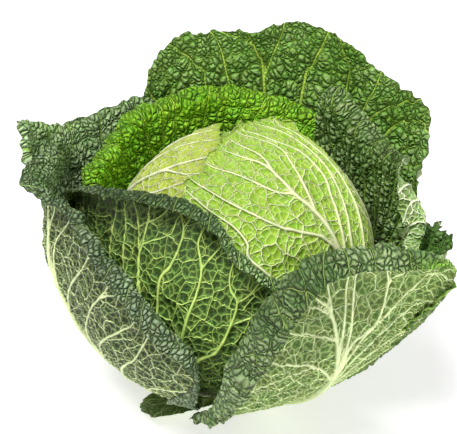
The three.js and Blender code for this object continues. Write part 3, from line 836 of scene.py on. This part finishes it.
leafRight = dict(
    base=(112, -75, 85, 7), mesh=(180, 84, 32), seed=13,
    rim=[
        (80, -18, 92, 5, -40, 3), (84, 3, 103, 14, -140, 3), (90, 9, 110, 26, -160, 3),
        (96, 15, 109, 22, -150, 3), (101, 19, 106, 11, -90, 3), (107, 22, 103, 12, 60, 3),
        (115, 23, 101, 28, 165, 3), (126, 24, 101, 34, 185, 3), (136, 27, 105, 32, 190, 3),
        (145, 34, 112, 24, 180, 3), (150, 28, 109, 14, 140, 3), (153, 11, 100, 6, 60, 3),
        (152, -8, 93, 4, 40, 3),
    ],
    veins=fanOfVeins((5, 14, 23, 32, 41, 57, 66, 76, 85, 94), 1.2),
    relief={**outerRelief, "rimCell": 3.3, "small": 1.6}, fineFrom=20.0,
    lightAndShadeSpots=[(0.15, 0.8, 0.12, 0.3, 0.5), (0.55, 0.6, 0.4, 0.1, -0.45)],
    finish=paints(
        "#a2bf74", "#6f9044", "#eef6d0", "#5a7f28", "#26400a", "#8fae4c", bloom="#a9bd8c",
        bloomAmount=0.75,
    ),
)

leafRightLow = dict(
    base=(84, -76, 91, 7), mesh=(90, 70, 4), swell=(1.5, 3, 0.2), seed=14, ragged=2.4, frill=2.0,
    rim=[
        (67, -24, 96, 3, 20, 2.5), (67, -4, 104, 3, 20, 2.5), (66, 8, 117, 4, 30, 2.8),
        (69, 16, 131, 4, 30, 2.8), (79, 14, 121, 4, 30, 2.8), (91, 9, 116, 4, 30, 2.8),
        (101, 2, 114, 4, 30, 2.8), (107, -4, 109, 4, 30, 2.5), (107, -24, 98, 3, 30, 2.5),
    ],
    veins=fanOfVeins((8, 20, 32, 42, 60, 72, 84, 93), 1.0),
    finish=paints("#7f9a5c", "#5f7c3c", "#c3d39b", "#4c7a1c", "#294a0a", "#86aa40", bloomAmount=0.3),
)

leafFrontRight = dict(
    base=(38, -76, 91, 7), mesh=(230, 92, 38), seed=15,
    rim=[
        (-24, -47, 100, 2, 40, 2), (-11, -28, 102, 12, 130, 2), (-4, -8, 103.5, 32, 165, 2),
        (3, 8, 105, 40, 168, 2.2), (15, 22, 106, 34, 165, 2.4), (27, 28, 109, 27, 158, 2.6),
        (42, 26, 116, 22, 150, 2.6), (52, 22, 125, 19, 145, 2.6), (58, 17.5, 137, 13, 100, 2.9),
        (60, 10, 139, 6, -10, 3.2), (59, 3, 124, 6, -45, 3.2), (58, -8, 107, 6, -45, 2.6),
        (53, -27, 94, 4, -30, 1.5),
    ],
    veins=[
        (5.5, 2.9, [(48, 0), (47.8, 25), (47.5, 44)]),
        (2.4, 0.5, [(47.5, 42), (45.8, 52), (43.2, 69), (41.5, 74), (38, 80), (36, 90), (35, 100)]),
        (1.0, 0.45, [(43.2, 69), (42.5, 80), (42.8, 88), (41, 94), (40, 100)]),
        (1.3, 0.45, [(47.4, 42), (45.8, 57), (45.8, 76), (46.5, 84), (45.8, 90), (45, 100)]),
        (1.3, 0.45, [(47.6, 42), (47.2, 58), (47.2, 74), (47.8, 83), (50, 91), (50.2, 100)]),
        (1.5, 0.45, [(47.8, 42), (48.4, 58), (53.5, 66), (55, 79), (54.5, 85), (57.8, 93), (59, 100)]),
        (1.4, 0.45, [(48, 40), (50.2, 58), (55.2, 67), (61, 78), (65, 86), (72.5, 95), (76, 100)]),
        (0.6, 0.35, [(55.2, 80), (63.5, 92), (66.8, 98)]),
        (1.1, 0.4, [(48.5, 38), (54, 55), (63, 71), (72, 83), (81, 96)]),
        (0.9, 0.4, [(49, 34), (60, 54), (72, 68), (82, 80), (90, 93)]),
        (0.8, 0.4, [(49, 30), (70, 50), (86, 66), (95, 85)]),
        (1.0, 0.4, [(45, 59), (38, 65), (32.5, 69), (25, 80), (24, 95)]),
        (1.0, 0.4, [(44, 66), (40.5, 73), (35.8, 76), (30, 86), (30, 97)]),
        (1.5, 0.4, [(47.2, 40), (40, 51), (32.5, 56), (27, 64), (20, 76), (14, 86), (12, 100)]),
        (0.9, 0.4, [(41, 50), (27, 52), (15, 64), (6, 84)]),
    ],
    relief={**outerRelief, "rimCell": 3.7, "small": 1.6}, fineFrom=26.0, veinScale=0.66,
    ragged=2.6, rimFrom=0.66, paleFrom=0.76,
    lightAndShadeSpots=[
        (0.9, 0.6, 0.2, 0.3, 0.15), (0.55, 0.95, 0.15, 0.2, 0.3), (0.7, 0.85, 0.12, 0.2, 0.25),
        (0.04, 0.95, 0.08, 0.25, 0.35),
    ],
    finish=paints(
        "#88a452", "#456119", "#e4f3b4", "#567538", "#233709", "#86a050", bloom="#9fae80",
        bloomAmount=0.7, fineLine=0.25, rim="#86b83a", rimAmount=0.75,
    ),
)

leafFront = dict(
    base=(-32, -75, 85, 7), mesh=(200, 100, 14), seed=16,
    rim=[
        (-98, 0, 94, 3, 40, 2.5), (-92, 19, 103, 8, 90, 2.5), (-78, 31, 103, 12, 120, 2.5),
        (-60, 40, 98.5, 15, 140, 2.5), (-42, 45, 92.5, 17, 150, 2.5), (-25, 46, 90.5, 17, 150, 2.5),
        (-12, 41, 89, 17, 150, 2.5), (-3, 32, 88.5, 16, 145, 2.5), (9, 23, 89, 13, 130, 2.5),
        (20, 13, 89.5, 8, 100, 2.5), (26, -12, 88.5, 4, 50, 2.5),
    ],
    veins=[
        (1.49, 0.5, [(49, 0), (44, 35), (38, 70), (37.8, 79), (37.5, 86), (36.5, 91), (35.5, 100)]),
        (0.6, 0.4, [(37.7, 85.5), (40.5, 89), (41.5, 93), (40, 100)]),
        (0.45, 0.4, [(37.8, 79), (41.5, 82), (44.8, 83.5), (45, 88.5)]),
        (1.49, 0.5, [(50, 0), (46, 40), (44.5, 67), (47, 75), (48.5, 82), (48, 87), (44.5, 92),
            (45.5, 100)]),
        (0.6, 0.4, [(48, 87), (51, 94.5), (50.5, 100)]),
        (1.55, 0.5, [(51, 0), (51.5, 40), (53.8, 60), (56.5, 70), (57, 78), (54.2, 84.5), (54.5, 88),
            (57.8, 100)]),
        (0.68, 0.4, [(57, 78), (62.5, 88), (63.8, 92), (68, 100)]),
        (1.67, 0.5, [(52, 0), (55.2, 40), (66.5, 56), (71.2, 69), (72.5, 78), (70, 81), (69, 86),
            (72.2, 100)]),
        (0.6, 0.4, [(72.5, 78), (76.5, 85), (82.5, 100)]),
        (0.52, 0.4, [(71.2, 69), (77.8, 77), (86, 86)]),
        (0.99, 0.5, [(47, 5), (38, 45), (32.8, 79), (31.2, 87), (27, 100)]),
        (0.68, 0.4, [(41, 55), (36.2, 82), (32, 92), (31, 100)]),
        (1.05, 0.4, [(46, 5), (35, 50), (29, 80), (28.2, 89), (24.8, 100)]),
        (0.9, 0.4, [(44, 5), (25, 55), (19, 80), (15, 100)]),
        (0.75, 0.4, [(42, 5), (14, 50), (8, 80), (5, 97)]),
        (0.9, 0.4, [(55, 5), (79, 45), (88, 70), (93, 95)]),
    ],
    relief={**outerRelief, "cell": 11.0, "rimCell": 2.9}, veinScale=0.72,
    lightAndShadeSpots=[
        (0.1, 0.75, 0.16, 0.3, -0.45), (0.3, 0.9, 0.2, 0.1, -0.3), (0.75, 0.6, 0.25, 0.25, 0.32),
        (0.5, 0.55, 0.2, 0.2, 0.12), (0.8, 1.0, 0.14, 0.1, 0.3),
    ],
    finish=paints(
        "#5f8430", "#213c05", "#bcd870", "#4f6f34", "#263b0e", "#84a048", fineLine=0.28, bloom="#96ad82",
        bloomAmount=0.6, rim="#7d9c45", rimAmount=0.15,
    ),
)

leafLeft = dict(
    base=(-69, -76, 91.8, 7), bulge=5.5, mesh=(210, 92, 28), seed=17,
    rim=[
        (-124, -10, 104.5, 3, 30, 3.2), (-121, 14, 121, 4, 30, 2.6), (-113, 22, 128, 6, 40, 2.2),
        (-103, 21, 124, 11, 60, 1.8), (-95, 18, 123, 21, 80, 1.4), (-88, 19.5, 117, 18, 100, 1.2),
        (-79, 22, 106, 12, 120, 1.2), (-67, 21, 101, 12, 130, 1.3), (-54, 19, 99.5, 15, 145, 1.5),
        (-40, 14, 97.5, 19, 160, 2), (-27, 5, 97, 20, 160, 2), (-16, -5, 98, 12, 130, 2),
        (-17, -20, 97, 4, 50, 2), (-33, -38, 96.5, 3, 40, 2),
    ],
    veins=[
        (4.5, 1.0, [(50, 0), (47, 30), (44.5, 50), (42, 58), (39.8, 67), (39, 82), (36, 90), (33, 100)]),
        (0.8, 0.4, [(39.1, 82), (39.8, 92), (39, 100)]),
        (1.1, 0.4, [(40.5, 62), (41.8, 79), (44.8, 89), (44.8, 100)]),
        (1.4, 0.45, [(42.5, 55), (48, 68), (54.2, 82), (54.8, 92), (51, 100)]),
        (0.7, 0.4, [(54.5, 85.5), (62, 95)]),
        (1.5, 0.45, [(46.5, 35), (52.5, 56), (62.2, 80), (64.2, 93), (65, 100)]),
        (0.7, 0.4, [(62.2, 79), (67.8, 87), (70, 100)]),
        (1.4, 0.45, [(49, 22), (58, 53), (66, 68), (70.2, 78), (74, 100)]),
        (1.4, 0.4, [(51, 12), (63.2, 46), (70.2, 61), (74.5, 80), (77.2, 88), (81.5, 95)]),
        (1.1, 0.4, [(52, 6), (70, 40), (82, 60), (90, 85)]),
        (1.2, 0.4, [(46, 30), (33, 50), (26, 75), (22, 100)]),
        (1.1, 0.4, [(47, 18), (25, 45), (14, 70), (10, 100)]),
        (1.0, 0.4, [(48, 8), (15, 35), (5, 60), (3, 90)]),
    ],
    relief={**outerRelief, "cell": 10.0, "smallCell": 4.2, "rimCell": 3.0}, fineFrom=14.0, veinScale=0.7,
    lightAndShadeSpots=[(0.22, 0.85, 0.2, 0.35, 0.5), (0.75, 0.6, 0.2, 0.3, 0.12)],
    finish=paints(
        "#516d22", "#1a2a03", "#deecae", "#58723f", "#243612", "#88a060", fineLine=0.28, bloom="#a2b494",
        bloomAmount=0.75, rim="#8a9c66", rimAmount=0.1,
    ),
)

leafBackLeft = dict(
    base=(223, -76, 94.6, 6), mesh=(130, 84, 6), swell=(2, 4, 0.4), seed=18, ragged=2.2, frill=1.8,
    lightAndShadeSpots=[(0.8, 0.8, 0.3, 0.4, 0.15)],
    rim=[
        (197, -12, 102, 3, 30, 2.8), (202, 8, 122, 4, 40, 2.8), (208, 17, 134, 5, 50, 2.8),
        (220, 15, 137, 5, 50, 2.8), (232, 15, 140, 5, 50, 2.8), (243, 20, 148, 6, 60, 2.8),
        (249, 22, 147, 7, 70, 2.8), (252, 14, 138, 6, 60, 2.5), (249, -4, 118, 4, 40, 2),
    ],
    veins=fanOfVeins((7, 17, 28, 39, 60, 71, 82, 93), 1.2),
    finish=paints(
        "#7f9a5c", "#5f7c3c", "#c3d39b", "#86a763", "#3a5820", "#90ae50", bloom="#bccbae",
        bloomAmount=0.8,
    ),
)

leafLow = dict(
    base=(-43, -77.3, 95.6, 5), mesh=(70, 34, 3), swell=(0, 3, 0), seed=19, frill=0.5, pucker=0.4,
    rim=[
        (-82, -62, 103, 2, 20, 2), (-73, -57, 109, 3, 30, 2), (-62, -54, 110, 3, 30, 2),
        (-50, -54, 107, 3, 30, 2), (-42, -60, 101, 2, 20, 2),
    ],
    veins=fanOfVeins((10, 28, 72, 90), 0.7),
    branches=[dict(every=7.0, length=14.0, turn=(35, 60), thick=0.6)],
    relief=dict(cell=7.5, smallCell=4.2, rimCell=3.2, big=0.45, small=0.25, rib=0.5, sharp=0.8),
    finish=paints("#7d954f", "#4f6a28", "#c3d592", "#7c9a4c", "#31480f", "#b3cc78", bloomAmount=0.25),
)

print("outer leaves")
makeLeaf("leafBack", "leaf_back", leafBack)
makeLeaf("leafInnerBack", "leaf_inner_back", leafInnerBack)
makeLeaf("leafRight", "leaf_right", leafRight)
makeLeaf("leafRightLow", "leaf_right_low", leafRightLow)
makeLeaf("leafFrontRight", "leaf_front_right", leafFrontRight)
makeLeaf("leafFront", "leaf_front", leafFront)
makeLeaf("leafLeft", "leaf_left", leafLeft)
makeLeaf("leafBackLeft", "leaf_back_left", leafBackLeft)
makeLeaf("leafLow", "leaf_low", leafLow)

# the head: wrapper leaves over a ball
# arc: azimuth and latitude of points of the arc that the rays start from, at one distance; waist: the
# same of a line that the rays cross halfway; under: the leaf whose lip lies over this one

headRelief = dict(cell=8.8, smallCell=4.0, rimCell=2.9, big=0.9, small=0.7, rib=0.5, sharp=1.0)
headFinish = paints(
    "#aed63e", "#8ab818", "#f0f8bc", "#9fbd5a", "#6f9424", "#d5e3a0", rim="#a3ca3c", rimAmount=0.6,
    stalk="#dfe8b8", bloomAmount=0.0, toneSpread=0.3, gloss=0.45, fineLine=0.42, depth=0.6,
)
plainWrapper = dict(slot="head_leaves", thick=0.9, relief=headRelief, finish=headFinish)

wrapperFront = dict(
    plainWrapper, arc=[(14, -45), (38, -50), (62, -35)], distance=81.5,
    mesh=(230, 118, 4), seed=21, pucker=0.35, frill=3.0, ragged=3.4, stand=2.6,
    waist=[(-2, 20), (22, 24), (50, 23), (63, 26), (72, 24)],
    rim=[
        (-37, 50, 81.7, 2, 20, 1), (-43, 57, 82, 2, 20, 1), (-37, 63, 82, 2, 20, 1),
        (-46, 70, 81, 2, 20, 1), (-52, 77, 80.5, 2, 20, 1), (-75, 83, 80, 2, 20, 1),
        (-140, 85, 79.6, 2, 30, 1), (178, 78, 79.6, 2, 40, 1), (165, 70, 80, 2, 40, 1),
        (155, 61, 80.3, 2, 40, 1), (141, 52, 81, 2, 30, 1),
    ],
    veins=[
        (2.5, 0.45, [(50, 0), (49, 53), (47, 66), (44.5, 73.5), (46.2, 85), (43.5, 91), (42.5, 97)]),
        (1.3, 0.45, [(49.5, 50), (42.8, 59), (30.5, 68), (23.8, 78), (18.8, 85), (15.5, 93), (13, 100)]),
        (1.5, 0.45, [(48, 20), (36, 38), (25.2, 46), (11.2, 64), (13.3, 70), (12.5, 77), (8.2, 87),
            (6.5, 100)]),
        (1.0, 0.4, [(44.6, 72.5), (39, 77), (35.2, 84), (31.5, 92), (26.5, 100)]),
        (1.3, 0.4, [(49.5, 47), (59, 57), (67.2, 63), (74.2, 69), (75.2, 75), (74.2, 81), (68.8, 87),
            (66, 100)]),
        (1.1, 0.4, [(47.2, 65), (52.5, 73), (61, 80), (65.2, 84), (64, 91), (60, 100)]),
        (1.4, 0.4, [(52, 15), (75, 34), (89.5, 44), (96.5, 57), (94.2, 71), (92, 79), (91, 87), (90, 100)]),
        (1.0, 0.4, [(53, 42), (76, 58), (84, 70), (83.5, 82), (79, 100)]),
        (0.9, 0.4, [(31, 42), (16, 48), (6, 60), (3, 80)]),
        (0.9, 0.4, [(45, 80), (50, 87), (51, 94), (50, 100)]),
    ],
)

wrapperLeft = dict(
    plainWrapper, arc=[(-140, -40), (-100, -48), (-60, -42)], distance=78.8,
    mesh=(130, 90, 3), seed=22, pucker=0.3, frill=1.2, ragged=2.2, stand=0.5,
    waist=[(-148, 8), (-120, 18), (-95, 22), (-65, 16), (-38, 4)],
    rim=[
        (-158, 45, 79, 1, 10, 1), (-158, 60, 79, 1, 10, 1), (-145, 72, 77.6, 1, 10, 1),
        (-120, 79, 77.2, 1, 20, 1), (-80, 82, 77, 1, 20, 1), (-45, 78, 77.1, 1, 10, 1),
        (-25, 68, 77.8, 1, 10, 1), (-20, 52, 79, 1, 10, 1), (-22, 34, 79, 1, 10, 1),
    ],
    veins=[
        (2.6, 0.5, [(45, 0), (44, 40), (47.5, 59), (55, 76), (59, 88), (62.8, 100)]),
        (0.9, 0.4, [(55.5, 77), (60, 81), (68.5, 89), (73.8, 100)]),
        (1.2, 0.4, [(46, 35), (58, 62), (67.8, 78), (74.8, 100)]),
        (1.1, 0.4, [(45, 25), (60, 48), (76, 68), (86, 95)]),
        (1.1, 0.4, [(45, 30), (39, 50), (37, 75), (40, 100)]),
        (1.0, 0.4, [(44.5, 20), (28, 45), (22, 70), (22, 100)]),
        (0.9, 0.4, [(44, 10), (14, 40), (7, 65), (6, 95)]),
    ],
    under=wrapperFront,
    finish={**headFinish, "outerCell": "#c8da44", "outerShadeAndTone": "#a6c01c", "outerVein": "#f6facc"},
)

wrapperRight = dict(
    plainWrapper, arc=[(62, -45), (98, -50), (132, -40)], distance=78.6,
    mesh=(80, 78, 2), swell=(0, 3, 0), seed=23, pucker=0.2, frill=0.3, ragged=1.0,
    waist=[(56, 2), (98, 8), (142, 2)],
    rim=[
        (56, 34, 78.4, 1, 10, 1), (66, 48, 77.8, 1, 10, 1), (84, 57, 77.3, 1, 10, 1),
        (104, 60, 77.3, 1, 10, 1), (124, 56, 77.5, 1, 10, 1), (140, 44, 78.2, 1, 10, 1),
    ],
    veins=fanOfVeins((8, 20, 33, 43, 58, 70, 82, 93), 1.2),
)

wrapperBack = dict(
    plainWrapper, arc=[(132, -42), (180, -50), (226, -42)], distance=75.7,
    mesh=(80, 70, 2), swell=(0, 3, 0), seed=24, pucker=0.2, frill=0.3, ragged=1.0,
    waist=[(122, 4), (180, 8), (236, 4)],
    rim=[
        (112, 42, 75.4, 1, 10, 1), (118, 60, 74.7, 1, 10, 1), (140, 72, 74.2, 1, 10, 1),
        (180, 78, 74, 1, 10, 1), (220, 72, 74, 1, 10, 1), (240, 58, 74.4, 1, 10, 1),
        (246, 40, 75.2, 1, 10, 1),
    ],
    veins=fanOfVeins((8, 20, 33, 43, 58, 70, 82, 93), 1.2),
)

print("wrapper leaves")
makeLeaf("wrapperFront", "head", wrapperFront)
makeLeaf("wrapperLeft", "head", wrapperLeft)
makeLeaf("wrapperRight", "head", wrapperRight)
makeLeaf("wrapperBack", "head", wrapperBack)

# paintedLightAndShade: painted shade that darkens the whole ball
ball = dict(
    rings=56, sectors=84, lastRing=88.5, relief=0.7, cell=9.0, domeReach=0.42, crown=2.6,
    crownEdge=(72.0, 84.0), fold=0.9, folds=1.5, foldTwist=1.2, paintedLightAndShade=-0.2,
)


# the ball: a sphere in rings, sunk between the lines of its net, higher at the crown and where
# leaves' edges lie under it
def makeBall():
    n, rings, cell, crown = ball["sectors"], ball["rings"], ball["cell"], ball["crown"]
    latitude = np.linspace(-ball["lastRing"], ball["lastRing"], rings)[:, None] + np.zeros((1, n))
    azimuth = np.linspace(0.0, 360.0, n, endpoint=False)[None, :] + np.zeros((rings, 1))
    out = direction(azimuth, latitude)
    turn = np.arctan2(out[..., 1], out[..., 0])
    fold = np.abs(np.sin(ball["folds"] * turn + ball["foldTwist"] * out[..., 2]))
    rise = ball["fold"] * fold * (1 - out[..., 2] ** 2) + crown * ramp(latitude, *ball["crownEdge"])
    net = np.stack([azimuth * ballRadius * np.pi / 180, latitude * ballRadius * np.pi / 180], -1) / netUnit
    edge = cell * cellEdge(net[..., 0] * netUnit / cell, net[..., 1] * netUnit / cell)
    points = out * (ballRadius + rise - ball["relief"] * dome(edge, ball["domeReach"] * cell))[..., None]
    ends = np.array([[0, 0, -ballRadius], [0, 0, ballRadius + crown]])
    everything = np.concatenate([points.reshape(-1, 3), ends]) + [0, 0, headHeight]
    i, j = np.meshgrid(np.arange(rings - 1), np.arange(n), indexing="ij")
    following = (j + 1) % n
    quads = [i * n + j, i * n + following, (i + 1) * n + following, (i + 1) * n + j]
    k, top = np.arange(n), (rings - 1) * n
    low = np.stack([(k + 1) % n, k, np.full(n, rings * n)], -1)
    high = np.stack([top + k, top + (k + 1) % n, np.full(n, rings * n + 1)], -1)
    zero = np.zeros(len(everything))
    attributes = dict(
        veinSide=zero + 16, veinGirth=zero + thinnest, veinAway=zero + 16, nearRim=zero, margin=zero,
        stalk=zero, outside=zero + 1, paintedLightAndShade=zero + ball["paintedLightAndShade"],
    )
    uv = np.concatenate([net.reshape(-1, 2), np.zeros((2, 2))])
    material = leafMaterial("packedLeaves", dict(relief={**headRelief, "cell": cell}, finish=headFinish))
    faces = np.stack(quads, -1).reshape(-1, 4).tolist() + low.tolist() + high.tolist()
    piece = makePiece("packedLeaves", everything, faces, attributes, uv, material)
    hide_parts("head")
    print("packedLeaves done")


makeBall()

# the cut stem: cloudy pale flesh with darker fibres
cutStem = dict(
    pale="#e2e5bd", green="#b9c07f", fibre="#a59a63", cloudScale=120.0, fibreScale=900.0, fibreShow=0.5,
    roughness=0.65, bump=0.5, bumpDepth=0.0004,
)


def stemMaterial():
    material, shader, t = newMaterial("cutStem")
    place = t.node("ShaderNodeTexCoord").outputs["Object"]
    cloud, fibre = t.noise(place, cutStem["cloudScale"]), t.noise(place, cutStem["fibreScale"], 2.0)
    flesh = t.mix(t.step(cloud, 0.35, 0.7), colour(cutStem["pale"]), colour(cutStem["green"]))
    flesh = t.mix(t.step(fibre, 0.5, 0.8) * cutStem["fibreShow"], flesh, colour(cutStem["fibre"]))
    t.put(shader.inputs["Base Color"], flesh)
    t.put(shader.inputs["Roughness"], cutStem["roughness"])
    t.put(shader.inputs["Normal"], t.bump(fibre, cutStem["bump"], cutStem["bumpDepth"]))
    return material


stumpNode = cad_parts["stump"]
stumpNode.data.materials.clear()
stumpNode.data.materials.append(stemMaterial())
print("stump")

# camera, floor and light
view = dict(
    rise=33.0, distance=1.5, lens=199.1, sensor=36.0, aim=(0.0, 0.0, 0.096), shiftX=-0.0295, shiftY=0.0853
)
studio = dict(
    world=0.3, floor="#e8e5ea", floorHalf=6, floorRoughness=0.6, glow=0.56,
    key=dict(place=(-1.0, -0.9, 3.8), power=150.0, size=2.2),
    fill=dict(place=(1.9, -2.9, 1.7), power=32.0, size=1.2),
)


def makeCamera():
    data = bpy.data.cameras.new("camera")
    data.lens, data.sensor_width = view["lens"], view["sensor"]
    data.shift_x, data.shift_y = view["shiftX"], view["shiftY"]
    camera = bpy.data.objects.new("camera", data)
    rise = math.radians(view["rise"])
    x, y, z = view["aim"]
    camera.location = (x, y - view["distance"] * math.cos(rise), z + view["distance"] * math.sin(rise))
    camera.rotation_euler = (math.pi / 2 - rise, 0.0, 0.0)
    bpy.context.scene.collection.objects.link(camera)
    bpy.context.scene.camera = camera


def makeFloor():
    half = studio["floorHalf"]
    mesh = bpy.data.meshes.new("floor")
    corners = [(-half, -half, 0), (half, -half, 0), (half, half, 0), (-half, half, 0)]
    mesh.from_pydata(corners, [], [(0, 1, 2, 3)])
    floor = bpy.data.objects.new("floor", mesh)
    material, shader, t = newMaterial("paleFloor")
    t.put(shader.inputs["Base Color"], colour(studio["floor"]))
    t.put(shader.inputs["Roughness"], studio["floorRoughness"])
    t.put(shader.inputs["Emission Color"], (1, 1, 1, 1))
    t.put(shader.inputs["Emission Strength"], studio["glow"])
    mesh.materials.append(material)
    bpy.context.scene.collection.objects.link(floor)


def makeLamp(name, place, power, size):  # a round lamp, turned to the middle of the head
    data = bpy.data.lights.new(name, "AREA")
    data.energy, data.shape, data.size = power, "DISK", size
    lamp = bpy.data.objects.new(name, data)
    lamp.location = place
    aim = np.array([0, 0, 0.1]) - np.array(place)
    lean, turn = math.acos(-aim[2] / np.linalg.norm(aim)), math.atan2(aim[1], aim[0]) - math.pi / 2
    lamp.rotation_euler = (lean, 0, turn)
    bpy.context.scene.collection.objects.link(lamp)


def makeWorld():
    world = bpy.data.worlds.new("studio")
    world.use_nodes = True
    background = world.node_tree.nodes["Background"].inputs
    background["Color"].default_value = (1, 1, 1, 1)
    background["Strength"].default_value = studio["world"]
    bpy.context.scene.world = world
    bpy.context.scene.view_settings.view_transform = "Standard"


makeWorld()
makeCamera()
makeFloor()
makeLamp("keyLight", **studio["key"])
makeLamp("fillLight", **studio["fill"])
print("camera, floor and light")

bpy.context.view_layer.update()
